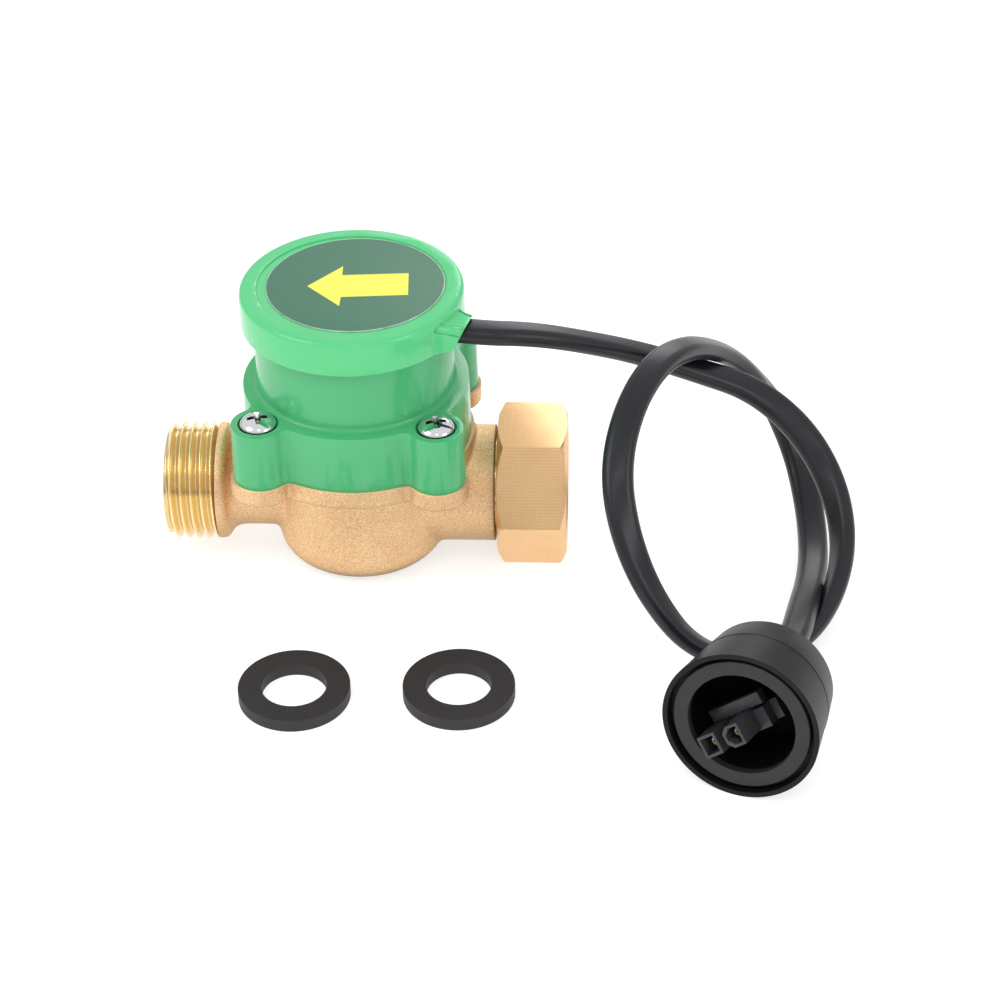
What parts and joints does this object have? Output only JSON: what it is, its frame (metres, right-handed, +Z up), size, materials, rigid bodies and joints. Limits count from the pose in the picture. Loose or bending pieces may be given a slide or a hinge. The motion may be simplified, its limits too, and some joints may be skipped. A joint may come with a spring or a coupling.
{
  "type": "paddle flow switch",
  "caption": "Paddle flow switch for a half-inch pipe: brass body with male thread and union nut, green sensor housing, and a cord with a connector cap.",
  "frame": {"origin": "centre of the chamber's flat base, on the surface the switch stands on", "axes": "+Z up along the chamber axis to the cap, +X along the pipe to the inlet nut, so water flows along -X"},
  "size_m": [0.1215, 0.0934, 0.0536],
  "materials": {
    "cast_brass": "sand-cast, tumbled",
    "machined_brass": "machined",
    "steel": "plain",
    "black_rubber": "matt",
    "green_plastic": "moulded, translucent edges",
    "green_cap": "moulded, soft gloss",
    "chrome_steel": "plated",
    "white_plastic": "moulded acetal",
    "magnet": "sintered",
    "label_film": "printed film",
    "board": "laminate",
    "board_part": "coated",
    "black_plastic": "moulded",
    "wire_skin": "smooth",
    "cord_skin": "soft sheen",
    "cup_rubber": "matt"
  },
  "bodies": {
    "valve_body": {"brass_body": "cast_brass", "nut_snap_ring": "steel", "washer_left": "black_rubber", "washer_right": "black_rubber", "chamber_seal": "black_rubber", "sensor_housing": "green_plastic", "housing_screw_1": "chrome_steel", "housing_screw_2": "chrome_steel", "housing_screw_3": "chrome_steel", "housing_screw_4": "chrome_steel", "lower_bearing": "white_plastic", "upper_bearing": "white_plastic", "rotor_shaft": "steel", "cap": "green_cap", "label": "label_film", "circuit_board": "board", "hall_sensor": "black_plastic", "triac": "black_plastic", "capacitor": "black_plastic", "resistor_1": "board_part", "resistor_2": "board_part", "cord_ferrule": "steel", "lead_live": "wire_skin", "lead_neutral": "wire_skin", "cord": "cord_skin", "plug_cup": "cup_rubber", "plug_ring": "cup_rubber", "connector_housing": "black_plastic", "connector_latch": "black_plastic", "connector_terminal_1": "machined_brass", "connector_terminal_2": "machined_brass", "plug_lead_1": "wire_skin", "plug_lead_2": "wire_skin"},
    "swivel_nut": {"union_nut": "machined_brass"},
    "paddle_rotor": {"paddle_wheel": "white_plastic", "rotor_magnet_1": "magnet", "rotor_magnet_2": "magnet"}
  },
  "joints": [
    {"name": "nut_spin", "type": "hinge", "parent": "valve_body", "child": "swivel_nut", "pos_m": [0.0307, 0, 0.0125], "axis": [1, 0, 0], "continuous": true},
    {"name": "paddle_spin", "type": "hinge", "parent": "valve_body", "child": "paddle_rotor", "pos_m": [0, 0, 0.012], "axis": [0, 0, 1], "continuous": true}
  ]
}
